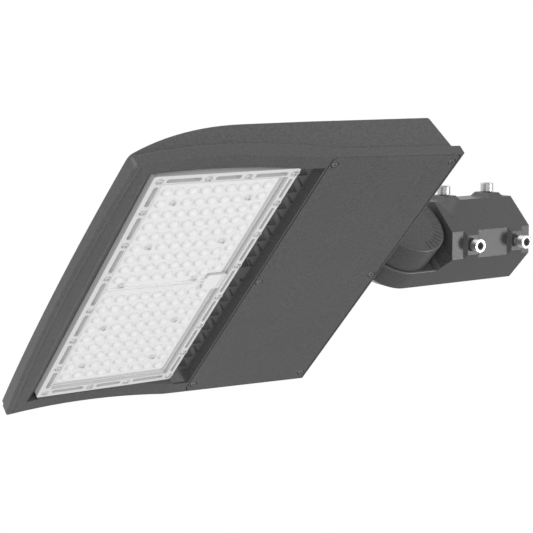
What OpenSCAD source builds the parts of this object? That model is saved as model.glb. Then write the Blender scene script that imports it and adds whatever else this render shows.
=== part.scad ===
// LED street light head on a tilting slip fitter for a pole tenon.
// +X points along the tenon towards the pole, +Z is up, the origin is the
// centre of the socket mouth. The head hangs out towards -X.

/* [Slip fitter] */
// Width of the eight-sided fitter across its flats
fitter_w = 78.7; // [75:0.1:84]
// Length from the front end of the fitter to the socket mouth
fitter_l = 102.2; // [96:0.1:120]
// How far each slanted face cuts into the square, along Y and Z
fitter_cut = 19.8; // [17:0.1:22]
// Diameter of the socket bore that takes a 60 mm tenon
socket_d = 61.2; // [60.8:0.1:61.2]
// Length of the round socket bore
socket_l = 84; // [70:0.5:88]
// Wall of the wire chamber in front of the socket
chamber_wall = 3.2; // [2.5:0.1:5]
// Diameter of the wire hole in the tenon stop
stop_d = 44; // [36:0.5:50]
// Length of the tenon stop along the socket
stop_l = 4; // [3:0.5:6]
// How far a clamp bolt boss stands off its slanted face
boss_h = 4.1; // [4.1:0.1:5]
// Length of a boss at its foot, along the fitter
boss_l = 19; // [16:0.5:22]
// Shortening of the boss at its top, both ends together
boss_taper = 4.4; // [2:0.2:7]
// Distance from the socket mouth to the rear clamp bolts
bolt_inset = 20; // [16:0.5:24]
// Distance between the front and rear clamp bolts
bolt_pitch = 58; // [50:0.5:60]

/* [Clamp bolts] */
// Thread diameter of the clamp bolts
clamp_d = 8; // [6:0.5:10]
// Length of the clamp bolts under the head
clamp_l = 16; // [14:0.5:16]
// Gap under the heads of the two upper clamp bolts
gap_upper = 1.1; // [1:0.1:5]
// Gap under the head of the lower front clamp bolt
gap_front = 2.2; // [1:0.1:6]
// Gap under the head of the lower rear clamp bolt
gap_rear = 6.2; // [1:0.1:7]
// Radial clearance of a clamp bolt in its threaded hole
clamp_fit = 0.05; // [0.02:0.01:0.09]

/* [Knuckle] */
// Diameter of the arm's round knuckle half
knuckle_d = 73.2; // [68:0.2:74]
// Width of the arm's knuckle half along the pivot
arm_w = 30.6; // [26:0.1:34]
// Distance from the middle plane to the plane where the halves meet
split_off = 4.5; // [1:0.1:6]
// Running gap between the crests of the two toothed faces
split_gap = 0.3; // [0.2:0.05:0.6]
// Gap between the knuckle and the front end of the fitter
knuckle_gap = 1.9; // [1.5:0.1:4]
// Diameter of the pivot bolt
pivot_d = 12; // [10:0.5:14]
// Radial running clearance of the pivot bolt in the fitter's ear
pivot_fit = 0.06; // [0.02:0.01:0.09]
// Rounding of the knuckle's and the ear's near edge
edge_r = 2.4; // [1:0.1:3]
// Number of teeth on each half
teeth = 36; // [24:1:48]
// Height of a tooth
tooth_h = 1; // [0.6:0.1:1.4]
// Spacing of the angle marks in degrees
mark_step = 10; // [5:1:15]
// Thickness of the arm's bolting flange
arm_flange_t = 9.8; // [8:0.1:10]
// Height of the arm's bolting flange
arm_flange_h = 31; // [29:0.5:31]
// Width of the arm's bolting flange
arm_flange_w = 84; // [80:1:100]
// Distance from the pivot axis to the rear edge of the head
neck_l = 40; // [40:0.1:44]

/* [Head] */
// Width over the rim
head_w = 350; // [344:0.5:360]
// Length of the driver cover
cover_l = 138.8; // [136:0.2:150]
// Length of the lamp bay in front of the driver box
bay_l = 178.2; // [174:0.2:186]
// Width of the nose bar in front of the bay
nose_w = 21.2; // [18:0.2:28]
// Width of the rim beside the lamp bay
rim_w = 15.3; // [14:0.1:18]
// Height of the flat top above the socket axis
top_rise = 15.2; // [13:0.2:18]
// Depth of the nose's upper edge below the socket axis
nose_drop = 16.6; // [14:0.1:18]
// Height of the underside of the lamp plate below the socket axis
plate_drop = 14.7; // [13.9:0.1:18]
// Thickness of the lamp plate
plate_t = 5; // [4:0.2:6]
// Depth of the rim's crest below the socket axis
rim_drop = 20.8; // [20:0.1:23]
// Depth of the cover's front edge below the socket axis
cover_drop = 27.6; // [26.5:0.1:30]
// Slope of the driver cover in degrees
cover_slope = 1.85; // [1:0.05:3]
// Height of the rim band at its crest
rim_h = 12.7; // [10:0.1:14]
// Height of the rim band along the driver box
rim_rear_h = 8.8; // [7.5:0.1:11]
// How far the rim band stands out past the side walls
rim_step = 3; // [1.5:0.1:4]
// How far the rim stands out behind the foot of the rear wall
rear_step = 5.9; // [5:0.1:9]
// How far the rim stands out behind the seat of the arm
seat_step = 12.4; // [12:0.1:16]
// Thickness of the side, top and front walls of the housing
wall_t = 3; // [2.5:0.1:4]
// Radius of the arch along the lower rim
arch_r = 700; // [600:10:900]
// Bow of the nose over the head's width
nose_bow = 8; // [3:0.1:10]
// How far the front of the lamp bay bows forward at its middle
bay_bow = 3.6; // [1:0.1:6]

/* [Cooling fins] */
// Distance between neighbouring ribs of the slot
fin_pitch = 22.4; // [21:0.1:23]
// Thickness of a top fin
fin_t = 2.6; // [2:0.1:3.6]
// Thickness of a slot rib
rib_t = 3.2; // [2.4:0.1:4.5]
// Width of the air slot between lamp plate and driver box
slot_w = 16; // [14:0.5:18]
// Width of the middle rib that carries the wire duct
duct_rib_w = 18; // [14:0.5:20]
// Diameter of the wire duct
duct_d = 9; // [7:0.5:10]

/* [Lens] */
// Gap between the nose bar and the lens panel's front edge
lens_front = 13; // [10:0.1:16]
// Gap between the rim and the lens panel's side edge
lens_side = 4.2; // [3:0.1:6]
// Gap between the lens panel's rear edge and the edge of the air slot
lens_rear = 4.5; // [3:0.1:6]
// Spacing of the lamp domes from front to rear
dome_px = 12.5; // [12:0.1:12.6]
// Spacing of the lamp domes across the head
dome_py = 14.57; // [14:0.01:14.7]
// Radius of a dome at its foot
dome_r = 5; // [4:0.1:5.4]
// Height of a dome
dome_h = 3; // [2:0.1:3.6]
// Thickness of the lens gasket
lens_seal_t = 1.2; // [0.8:0.1:1.6]
// Thickness of the lens panel's flange
lens_flange_t = 1.9; // [1.6:0.1:2.6]
// How far the lens panel's frame stands down from the lamp plate
frame_h = 7.9; // [7:0.1:8.4]
// Width of the pockets in the frame between the lens screws
pocket_w = 4.8; // [3.6:0.1:5.4]
// Inner height of the space over the lamp boards
lens_clear = 1.6; // [1.5:0.1:2]
// Thickness of the lens field
lens_t = 1.3; // [1:0.1:2]
// Thickness of a lamp board
board_t = 1.6; // [1:0.1:1.6]

/* [Driver box] */
// Thickness of the driver cover
cover_t = 3; // [2.5:0.1:3.4]
// Gap between the cover's edge and the lip round it
cover_gap = 1.2; // [0.6:0.1:1.6]
// Height of the ledge that the cover is screwed to
ledge_h = 6; // [5:0.2:8]
// Distance from the cover's front and rear edges to its screws
cover_inset = 5.1; // [4.8:0.1:6]
// Distance from the cover's side edges to its screws
cover_inset_y = 9.5; // [8:0.1:10]
// Diameter of the cover screws
cover_screw_d = 4; // [3:0.5:5]
// Length of the box left beside the driver for the surge protector and the terminals
service_l = 119; // [116:1:150]
// Width of the lamp driver
driver_w = 66; // [60:0.5:70]
// Height of the lamp driver
driver_h = 30; // [24:0.5:30.5]

/* [Hidden] */
$fn = 48;

// Colours as the photograph shows them
cast_grey = [0.33, 0.33, 0.34];
steel = [0.8, 0.8, 0.82];
clear = [0.88, 0.9, 0.92];
rubber = [0.12, 0.12, 0.13];
white_part = [0.9, 0.9, 0.88];

// Small overlap that cuts run past a face
eps = 0.5;
// Facets of the long arcs
big_fn = 720;

// Slip fitter, derived
fh = fitter_w / 2;
fa = fh - fitter_cut;
face_d = (fh + fa) / sqrt(2);
boss_d = face_d + boss_h;
socket_r = socket_d / 2;
chamber_x = -socket_l - stop_l;
bolt_rear_x = -bolt_inset;
bolt_front_x = -bolt_inset - bolt_pitch;
clamp_r = clamp_d / 2;
clamp_head_r = clamp_d * 13 / 16;
clamp_head_h = clamp_d;

// Knuckle, derived
knuckle_r = knuckle_d / 2;
pivot_x = -fitter_l - knuckle_gap - knuckle_r;
arm_in_y = -split_off - split_gap / 2;
ear_in_y = -split_off + split_gap / 2;
arm_out_y = arm_in_y - arm_w;
ring_in_r = knuckle_r * 0.56;
ring_out_r = knuckle_r * 0.93;
tooth_w = 2 * PI * ring_in_r / teeth * 0.95;
core_r = knuckle_r * 0.5;
core_in_r = pivot_d / 2 + 4.5;
core_depth = 12;
front_t = 3.2;
pivot_head_r = pivot_d * 0.75;
pivot_head_h = pivot_d;
washer_t = 2.5;
pivot_seat_y = fh - pivot_head_h - washer_t - 1;
seat_gap = 0.3;
thread_depth = arm_w - 10;
mark_r0 = knuckle_r * 0.69;
mark_w = 1.2;
mark_h = 0.5;
mark_span = 80;

// Head, derived
rear_x = pivot_x - neck_l;
lip_t = 1.4;
cover_x1 = rear_x - lip_t - cover_gap;
cover_x0 = cover_x1 - cover_l;
box_x = cover_x0 - cover_gap - lip_t;
bay_x0 = box_x - bay_l;
nose_x = bay_x0 - nose_w;
half_w = head_w / 2;
side_y = half_w - rim_step;
bay_y = half_w - rim_w;
bow_r = (pow(half_w, 2) + pow(nose_bow, 2)) / (2 * nose_bow);
bay_bow_r = (pow(half_w - rim_w, 2) + pow(bay_bow, 2)) / (2 * bay_bow);
wall_x = rear_x - rear_step;
seat_x = rear_x - seat_step;
seat_seal_t = 1.5;
arm_x = seat_x + seat_seal_t;
rear_in_x = seat_x - 8.5;
plate_z = -plate_drop;
plate_top = plate_z + plate_t;
brow_x = box_x - 0.398 * bay_l;
crest_x = box_x - 0.635 * bay_l;
crease_x = box_x - 0.556 * bay_l;
crease_r = 530;
brow_fall = top_rise + nose_drop;
brow_r = (pow(brow_x - nose_x, 2) + pow(brow_fall, 2)) / (2 * brow_fall);
rear_fall = 1.5;
wall_lean = 6.8;
top_edge_r = 2.5;
slot_x0 = box_x - slot_w;
floor_y = bay_y - 11.7;
side_in_y = side_y - 3.5;
fin_rows = floor((floor_y - 8) / fin_pitch);
last_fin = floor(2 * side_in_y / fin_pitch - 0.5);
fin_front_x = nose_x + 42;
duct_z = plate_z + 7;
duct_rib_top = duct_z + duct_d / 2 + 2.6;
pocket_r = 5.5;
mouth_y = half_w - 20.5;
mouth_x0 = cover_x0 + 15;
mouth_x1 = rear_in_x;

// Height of the cover's outer plane at x
function cover_z(x) = -cover_drop - (x - cover_x0) * tan(cover_slope);
// Height of the roof's outer plane at x, over the driver box
function roof_z(x) = top_rise - rear_fall * max(0, (x - box_x) / (rear_x - box_x));

// Lens, derived
lens_x1 = slot_x0 - lens_rear;
lens_x0 = bay_x0 + lens_front;
lens_y = bay_y - lens_side;
seal_z = plate_z - lens_seal_t;
flange_z = seal_z - lens_flange_t;
field_in_z = seal_z - lens_clear;
field_z = field_in_z - lens_t;
frame_z = plate_z - frame_h;
head_z = frame_z + 0.5;
tab_z = field_z - 2.8;
boss_r = 4.4;
screw_in = 6.4;
screw_front = 7.1;
screw_rear = 4.1;
screw_x0 = lens_x0 + screw_front;
screw_x1 = lens_x1 - screw_rear;
screw_y = lens_y - screw_in;
row_y = [for (k = [1, 2, 3, 4]) screw_y * [0.154, 0.455, 0.741, 1][k - 1]];
side_x = [screw_x0 + 0.352 * (screw_x1 - screw_x0), screw_x0 + 0.648 * (screw_x1 - screw_x0)];
field_x0 = lens_x0 + 15;
field_x1 = lens_x1 - 13.8;
field_y = lens_y - 15.6;
dome_x0 = field_x0 + 7.8;
dome_y0 = 14.2;
cols = floor((field_x1 - field_x0 - 14.5) / dome_px) + 1;
rows = floor((field_y - dome_y0 - 7) / dome_py) + 1;
last_pitch = dome_py * 0.965;
tab_l = 20.5;
tab_w = 21;
tab_x = lens_x1 - 18.3;
pocket_x = tab_x + 4;

// Plan place of the dome in column c and row r of the near or far module (s = -1 or 1)
function dome_at(s, c, r) = [dome_x0 + c * dome_px,
    s * (c < cols - 1 ? dome_y0 + (rows - 1 - r) * dome_py
        : dome_y0 + (rows - 1) * dome_py + 1.2 - r * last_pitch)];
function is_screw(c, r) = (c == 1 || c == cols - 2) && (r == 1 || r == 5);
dome_list = [for (s = [-1, 1], c = [0 : cols - 1], r = [0 : rows - 1])
    if (!is_screw(c, r)) dome_at(s, c, r)];
board_screw_list = concat(
    [for (s = [-1, 1], c = [1, cols - 2], r = [1, 5]) dome_at(s, c, r)],
    [for (c = [0.5, cols - 2.5]) [dome_x0 + c * dome_px, -dome_y0 + 9]]);
lens_screw_list = concat(
    [for (x = [screw_x0, screw_x1], y = row_y, s = [-1, 1]) [x, s * y]],
    [for (x = side_x, s = [-1, 1]) [x, s * screw_y]]);
lens_screw_r = 1.5;
lens_head_r = 3;
lens_head_h = 1.9;
board_head_r = 2.6;

// Driver box, derived
screw_cx0 = cover_x0 + cover_inset;
screw_cx1 = cover_x1 - cover_inset;
screw_cy = half_w - 2.1 - cover_inset_y;
cover_y = half_w - 2.1;
cover_screw_list = [for (x = [screw_cx0, screw_cx1], y = [-screw_cy, 0, screw_cy]) [x, y]];
cseal_w = 4;
cseal_t = 1.4;
cover_rise = cover_t / cos(cover_slope);
roof_in = roof_z(rear_in_x) - wall_t;
driver_x = (box_x + rear_in_x) / 2 + 4;
driver_y0 = -mouth_y + 8;
driver_l = 2 * mouth_y - service_l;
driver_y1 = driver_y0 + driver_l;
surge_size = [34, 42, 24];
surge_y0 = driver_y1 + 16;
term_size = [22, 30, 16];
term_y0 = surge_y0 + surge_size.y + 14;
bolt_y = arm_flange_w / 2 - 6;
arm_z0 = cover_z(wall_x) + rim_rear_h + 1;
arm_z1 = arm_z0 + arm_flange_h;
bolt_z = [arm_z0 + 8, arm_z1 - 7];
seat_c = 0.6;
seat_y = arm_flange_w / 2 + seat_c;
arm_screw_r = 4;
arm_hole_z = (arm_z0 + arm_z1) / 2;
hole_gap = 16;
arm_hole_y = hole_gap - bolt_y;
arm_hole_r = 7;

// Extrudes an XZ outline over the width w, centred on the middle plane
module along_y(w) {
    rotate([90, 0, 0]) linear_extrude(w, center = true) children();
}

// Extrudes an XZ outline from y0 to y1
module between_y(y0, y1) {
    translate([0, (y0 + y1) / 2, 0]) along_y(y1 - y0) children();
}

module block(x0, x1, y0, y1, z0, z1) {
    translate([x0, y0, z0]) cube([x1 - x0, y1 - y0, z1 - z0]);
}

// Flat rectangle with rounded corners
module soft_rect(x0, x1, y0, y1, r) {
    translate([x0 + r, y0]) square([x1 - x0 - 2 * r, y1 - y0]);
    translate([x0, y0 + r]) square([x1 - x0, y1 - y0 - 2 * r]);
    for (x = [x0 + r, x1 - r], y = [y0 + r, y1 - r]) translate([x, y]) circle(r);
}

// Cylinder along X from x0 to x1
module rod_x(r, x0, x1, y, z) {
    translate([x0, y, z]) rotate([0, 90, 0]) cylinder(h = x1 - x0, r = r);
}

// Cylinder along Y from y0 to y1
module rod_y(r, x, z, y0, y1) {
    translate([x, y0, z]) rotate([-90, 0, 0]) cylinder(h = y1 - y0, r = r);
}

// Head plan with the bowed nose, sides at +-w and corners of radius r
module head_plan(w, x1, r) {
    nx = nose_x + nose_bow * pow(w / half_w, 2);
    intersection() {
        translate([nose_x + bow_r, 0]) circle(bow_r, $fn = big_fn * 2);
        translate([nose_x - 1, -w + r]) square([x1 - nose_x + 1, 2 * (w - r)]);
    }
    translate([nx + r, -w]) square([x1 - nx - r, 2 * w]);
    for (s = [-1, 1]) translate([nx + r, s * (w - r)]) circle(r);
}

// Everything above the lower edge of the rim
module above_rim() {
    difference() {
        translate([nose_x - 5, -70]) square([rear_x - nose_x + 10, 120]);
        translate([crest_x, -rim_drop - arch_r]) circle(arch_r, $fn = big_fn);
        polygon([[box_x - 60, cover_z(box_x - 60)], [rear_x + 6, cover_z(rear_x + 6)],
            [rear_x + 6, -75], [box_x - 60, -75]]);
    }
}

// Side view of the main body: curved brow, flat roof, leaning rear wall
module body_side() {
    e = top_edge_r;
    zr = roof_z(wall_x - wall_lean);
    intersection() {
        above_rim();
        union() {
            intersection() {
                translate([brow_x, top_rise - brow_r]) circle(brow_r, $fn = big_fn);
                translate([nose_x - 5, -70]) square([brow_x - nose_x + 5.01, 100]);
            }
            polygon([[brow_x, -60], [brow_x, top_rise], [box_x, top_rise],
                [wall_x - wall_lean - e, zr], [wall_x - wall_lean, zr - e], [wall_x, plate_z - 9.8],
                [wall_x, -60]]);
            translate([wall_x - wall_lean - e, zr - e]) circle(e);
        }
    }
}

// Side view of the rim band that runs all round the head
module rim_side() {
    crease_z = -rim_drop + rim_h;
    join_x = box_x + 9;
    intersection() {
        above_rim();
        union() {
            intersection() {
                translate([crease_x, crease_z - crease_r]) circle(crease_r, $fn = big_fn);
                translate([nose_x - 5, -70]) square([join_x - nose_x + 5, 100]);
            }
            polygon([[join_x - 1, -60], [join_x - 1, cover_z(join_x - 1) + rim_rear_h],
                [rear_x + 6, cover_z(rear_x + 6) + rim_rear_h], [rear_x + 6, -60]]);
        }
    }
}

module head_solid() {
    intersection() {
        along_y(2 * side_y) body_side();
        translate([0, 0, -70]) linear_extrude(120) head_plan(side_y, wall_x, 4);
    }
    intersection() {
        along_y(head_w) rim_side();
        translate([0, 0, -70]) linear_extrude(120) head_plan(half_w, rear_x, 4);
    }
}

// Lamp bay seen from below, with bowed front and rounded front corners
module bay_plan() {
    intersection() {
        translate([bay_x0 + bay_bow_r, 0]) circle(bay_bow_r, $fn = big_fn * 2);
        union() {
            soft_rect(bay_x0 - 1, box_x, -bay_y, bay_y, 8);
            translate([slot_x0, -bay_y]) square([slot_w, 2 * bay_y]);
        }
    }
}

// One channel between two top fins, with a ramp at its front end
module fin_channel(y0, y1, x1) {
    between_y(y0, y1) polygon([[fin_front_x, plate_top], [x1, plate_top], [x1, 40],
        [fin_front_x - 40, 40], [fin_front_x - 16, plate_top + 22]]);
}

module fin_cuts() {
    half = fin_pitch / 2;
    for (s = [-1, 1], k = [0 : last_fin]) {
        y0 = k * half + fin_t / 2;
        y1 = (k == last_fin) ? side_in_y : (k + 1) * half - fin_t / 2;
        fin_channel(s > 0 ? y0 : -y1, s > 0 ? y1 : -y0, box_x);
    }
}

module slot_cuts() {
    for (s = [-1, 1], k = [0 : fin_rows]) {
        y0 = (k == 0) ? duct_rib_w / 2 : k * fin_pitch + rib_t / 2;
        y1 = (k == fin_rows) ? floor_y : (k + 1) * fin_pitch - rib_t / 2;
        if (y1 > y0 + 2) block(slot_x0, box_x, s > 0 ? y0 : -y1, s > 0 ? y1 : -y0,
            plate_z - 12, 40);
    }
}

// Ribs, stubs and duct that stand in the air slot
module slot_ribs() {
    for (s = [-1, 1], k = [1 : fin_rows])
        translate([0, s * k * fin_pitch, 0]) {
            between_y(-rib_t / 2, rib_t / 2) slot_rib_side();
        }
    for (s = [-1, 1], k = [0 : fin_rows - 1])
        translate([0, s * (k + 0.5) * fin_pitch, 0])
            between_y(-fin_t / 3, fin_t / 3) slot_stub_side();
    block(pocket_x - pocket_r - 2.5, box_x, -duct_rib_w / 2, duct_rib_w / 2, plate_z, duct_rib_top);
}

// A rib is cut back above the plate's underside, except for a foot near the box
module slot_rib_side() {
    intersection() {
        body_side();
        union() {
            translate([slot_x0 - 0.5, plate_z + 2.4]) square([slot_w + 1, 60]);
            translate([box_x - 6.6, plate_z]) square([3.6, 10]);
        }
    }
}

module slot_stub_side() {
    intersection() {
        body_side();
        translate([box_x - 2.2, plate_z - 2.5]) square([2.7, 60]);
    }
}

// Hollow of the driver box above the ledge
module box_cavity() {
    x0 = box_x + wall_t;
    lz = cover_t + ledge_h;
    along_y(2 * side_in_y) polygon([[x0, cover_z(x0) + lz], [x0, roof_z(x0) - wall_t],
        [rear_in_x, roof_in], [rear_in_x, cover_z(rear_in_x) + lz]]);
    along_y(2 * mouth_y) polygon([[mouth_x0, -50], [mouth_x0, cover_z(mouth_x0) + lz + 1],
        [mouth_x1, cover_z(mouth_x1) + lz + 1], [mouth_x1, -50]]);
    // The rear wall is thinner beside the seat of the arm
    for (s = [-1, 1]) between_y(s > 0 ? seat_y + 8 : -side_in_y, s > 0 ? side_in_y : -seat_y - 8)
        polygon([[rear_in_x - 1, cover_z(rear_in_x) + lz], [rear_in_x - 1, roof_in],
            [wall_x - wall_lean - 5, roof_in], [wall_x - 5.5, cover_z(wall_x) + lz]]);
}

// Recess that the cover lies in
module cover_recess() {
    intersection() {
        along_y(head_w) polygon([[cover_x0 - 8, cover_z(cover_x0 - 8) + cover_rise],
            [rear_x + 8, cover_z(rear_x + 8) + cover_rise], [rear_x + 8, -60], [cover_x0 - 8, -60]]);
        translate([0, 0, -60]) linear_extrude(60)
            soft_rect(cover_x0 - cover_gap, rear_x - lip_t, -cover_y - 0.5, cover_y + 0.5, 5);
    }
}

// Sloped inner corners at both ends of the air slot
module slot_ramps() {
    for (s = [-1, 1]) mirror([0, s > 0 ? 0 : 1, 0])
        intersection() {
            translate([lens_x1 + 0.8, 0, 0]) rotate([90, 0, 90]) linear_extrude(box_x - lens_x1)
                polygon([[floor_y, plate_z + 1], [floor_y, plate_z], [floor_y + 12, plate_z - 10.6],
                    [bay_y + 1, plate_z - 10.6], [bay_y + 1, plate_z + 1]]);
            along_y(head_w) above_rim();
        }
}

// Posts on the roof that carry the driver, surge protector and terminals
module box_posts() {
    for (p = driver_screw_list) translate([p.x, p.y, driver_top])
        cylinder(h = roof_in - driver_top + 2, r = 4.5);
    for (p = small_screw_list) translate([p.x, p.y, driver_top])
        cylinder(h = roof_in - driver_top + 2, r = 4);
    translate([ground_x, ground_y, ground_z]) cylinder(h = roof_in - ground_z + 2, r = 5);
}

module housing() color(cast_grey) difference() {
    union() {
        difference() {
            head_solid();
            translate([0, 0, -70]) linear_extrude(70 + plate_z) bay_plan();
            fin_cuts();
            slot_cuts();
            box_cavity();
        }
        intersection() {
            slot_ribs();
            head_envelope();
        }
        slot_ramps();
        box_posts();
    }
    cover_recess();
    // Recess in the rear wall that the arm's flange is bolted into
    block(seat_x, rear_x + 1, -seat_y, seat_y, arm_z0 - seat_c, arm_z1 + seat_c);
    nose_cove();
    // Wire duct from the lamp pocket to the driver box
    translate([pocket_x, 0, plate_z - eps]) cylinder(h = duct_z - plate_z + duct_d / 2 + eps, r = pocket_r);
    rod_x(duct_d / 2, pocket_x, box_x + wall_t + eps, 0, duct_z);
    for (p = concat(lens_screw_list, board_screw_list)) translate([p.x, p.y, plate_z - eps])
        cylinder(h = plate_t - 0.5 + eps, r = lens_screw_r + 0.02);
    for (p = cover_screw_list) on_cover() translate([(p.x - cover_x0) / cos(cover_slope), p.y, 0])
        cylinder(h = cover_t + 5.2, r = cover_screw_d / 2 + 0.02);
    for (p = driver_screw_list) translate([p.x, p.y, driver_top - eps]) cylinder(h = post_hole, r = 2.02);
    for (p = small_screw_list) translate([p.x, p.y, driver_top - eps]) cylinder(h = post_hole, r = 1.52);
    translate([ground_x, ground_y, ground_z - eps]) cylinder(h = post_hole, r = 2.02);
    for (y = [-bolt_y, bolt_y], z = bolt_z) rod_x(arm_screw_r + 0.3, rear_in_x - 2, seat_x + 1, y, z);
    rod_x(arm_hole_r + 2, rear_in_x - 2, seat_x + 1, arm_hole_y, arm_hole_z);
}

module head_envelope() {
    along_y(2 * side_y) body_side();
}

// Shallow cove along the underside of the nose bar, behind its front edge
module nose_cove() {
    w = 6;
    translate([0, 0, -rim_drop - 20]) intersection() {
        linear_extrude(20) difference() {
            translate([4, 0]) head_plan(half_w - 4, nose_x + 40, 4);
            translate([4 + w, 0]) head_plan(half_w + 9, nose_x + 60, 4);
        }
        translate([0, 0, rim_drop + 20]) along_y(head_w) difference() {
            translate([nose_x - 5, -60]) square([60, 60]);
            translate([0, 0.7]) above_rim();
        }
    }
}

// Screws in the box, measured from the driver and the small parts
ear_l = 9;
post_h = 3;
driver_screw_list = [for (y = [driver_y0 - ear_l / 2, driver_y1 + ear_l / 2],
    dx = [-driver_w / 2 + 8, driver_w / 2 - 8]) [driver_x + dx, y]];
driver_top = roof_in - post_h;
post_hole = post_h + 1.8 + eps;
surge_x = driver_x - 6;
small_screw_list = concat(
    [for (s = [-1, 1]) [surge_x + s * (surge_size.x / 2 + 4), surge_y0 + surge_size.y / 2]],
    [for (s = [-1, 1]) [surge_x + s * (term_size.x / 2 + 4), term_y0 + term_size.y / 2]]);
ground_x = surge_x + 36;
ground_y = term_y0 + 4;
ground_z = driver_top;
lead_r = 1.6;
led_lead_r = 1.6;
lead_z = driver_top - 14;

// Outline of the lens panel, drawn in by d
module lens_outline(d) {
    soft_rect(lens_x0 + d, lens_x1 - d, -lens_y + d, lens_y - d, 2.4);
}

// Dome standing down from the lens field
module dome() {
    big = (pow(dome_r, 2) + pow(dome_h, 2)) / (2 * dome_h);
    rotate([180, 0, 0]) rotate_extrude($fn = 24) intersection() {
        translate([0, dome_h - big]) circle(big, $fn = 64);
        translate([0, -0.2]) square([dome_r + 1, dome_h + 1]);
    }
}

module lens_panel() color(clear) difference() {
    union() {
        translate([0, 0, flange_z]) linear_extrude(lens_flange_t) lens_outline(0);
        block(field_x0, field_x1, -field_y, field_y, field_z, seal_z);
        lens_frame();
        translate([0, 0, field_z - 0.6]) linear_extrude(flange_z - field_z + 0.6) lens_ridge();
        for (p = lens_screw_list) lens_boss(p, boss_r, frame_z - 0.3);
        for (p = board_screw_list) lens_boss(p, 3.8, field_z - 0.5);
        for (y = [-1.9, 1.9]) block(field_x0, tab_x - tab_l / 2, y - 0.6, y + 0.6, field_z - 1.4, field_z);
        translate([tab_x, 0, tab_z]) linear_extrude(seal_z - tab_z)
            soft_rect(-tab_l / 2, tab_l / 2, -tab_w / 2, tab_w / 2, 2);
        for (p = dome_list) translate([p.x, p.y, field_z]) dome();
    }
    // Space over the lamp boards and the lead
    block(field_x0 + 1.6, field_x1 - 1.6, -field_y + 1.6, field_y - 1.6, field_in_z, seal_z + 1);
    block(tab_x - tab_l / 2 + 1.4, tab_x + tab_l / 2 - 1.4, -tab_w / 2 + 1.4, tab_w / 2 - 1.4,
        tab_z + 1.4, seal_z + 1);
    for (p = concat(lens_screw_list, board_screw_list)) translate([p.x, p.y, frame_z - 2])
        cylinder(h = frame_h + 3, r = lens_screw_r + 0.02);
    // Room for the screw heads
    for (p = lens_screw_list) translate([p.x, p.y, frame_z - 2])
        cylinder(h = head_z - frame_z + 2, r = lens_head_r + 0.3);
    for (p = board_screw_list) translate([p.x, p.y, frame_z - 2])
        cylinder(h = field_z - frame_z + 1.5, r = board_head_r + 0.3);
}

// Raised line round the field that steps in at each rear and side screw
module lens_ridge() {
    difference() {
        soft_rect(field_x0 - 4.6, field_x1 + 4.2, -field_y - 5, field_y + 5, 1);
        soft_rect(field_x0 - 3, field_x1 + 2.6, -field_y - 3.4, field_y + 3.4, 1);
    }
}

module lens_boss(p, r, z) {
    translate([p.x, p.y, z]) cylinder(h = seal_z - z - 0.2, r = r, $fn = 24);
}

// Raised frame that the lens screws stand in, with a round-ended pocket between each two screws
module lens_frame() {
    w = pocket_w / 2;
    r = w - 0.3;
    e = boss_r + w;
    inner = w + 1.6;
    ys = concat([for (k = [3 : -1 : 0]) -row_y[k]], row_y);
    xs = concat([screw_x0], side_x, [screw_x1]);
    translate([0, 0, frame_z]) linear_extrude(flange_z - frame_z) difference() {
        lens_outline(0);
        soft_rect(screw_x0 + inner, screw_x1 - inner, -screw_y + inner, screw_y - inner, 1);
        for (k = [0 : 6]) {
            soft_rect(screw_x0 - w, screw_x0 + w, ys[k] + e, ys[k + 1] - e, r);
            soft_rect(screw_x1 - w + 0.8, screw_x1 + w - 0.8, ys[k] + e, ys[k + 1] - e, r - 0.8);
        }
        for (k = [0 : 2], s = [-1, 1])
            soft_rect(xs[k] + e, xs[k + 1] - e, s * screw_y - w, s * screw_y + w, r);
    }
}

module lens_gasket() color(rubber) translate([0, 0, seal_z]) difference() {
    linear_extrude(lens_seal_t) difference() {
        lens_outline(1);
        translate([field_x0, -field_y]) square([field_x1 - field_x0, 2 * field_y]);
    }
    for (p = lens_screw_list) translate([p.x, p.y, -eps]) cylinder(h = 3, r = lens_screw_r + 0.02);
    translate([pocket_x, 0, -eps]) cylinder(h = 3, r = pocket_r);
}

// One lamp board; s is -1 for the near side and 1 for the far side
module led_board(s) color(white_part) difference() {
    translate([0, 0, plate_z - board_t]) linear_extrude(board_t) difference() {
        translate([field_x0 + 2.4, s > 0 ? 1 : -field_y + 2.4])
            square([field_x1 - field_x0 - 4.8, field_y - 3.4]);
        translate([tab_x - tab_l / 2 + 1, -7]) square([20, 14]);
    }
    for (p = board_screw_list) translate([p.x, p.y, plate_z - 5]) cylinder(h = 8, r = lens_screw_r + 0.02);
}
module led_board_near() led_board(-1);
module led_board_far() led_board(1);

module led_chips() color([0.95, 0.85, 0.4]) for (p = dome_list)
    translate([p.x - 1.5, p.y - 1.5, plate_z - board_t - 0.7]) cube([3, 3, 0.7]);

// Pan-head screw pointing up, with its head's seat at z = 0
module pan_screw(r, l, head_r, head_h) {
    cylinder(h = l, r = r, $fn = 24);
    difference() {
        translate([0, 0, -head_h]) cylinder(h = head_h, r1 = head_r * 0.8, r2 = head_r, $fn = 24);
        translate([0, 0, -head_h - eps]) cylinder(h = head_h * 0.6 + eps, r = head_r * 0.42, $fn = 6);
    }
}

module lens_screws() color(steel) for (p = lens_screw_list)
    translate([p.x, p.y, head_z]) pan_screw(lens_screw_r, plate_z - head_z + 4, lens_head_r, lens_head_h);

module board_screws() color(steel) for (p = board_screw_list)
    translate([p.x, p.y, field_z - 0.5]) pan_screw(lens_screw_r, plate_z - field_z + 4.5, board_head_r, 1.6);

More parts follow.
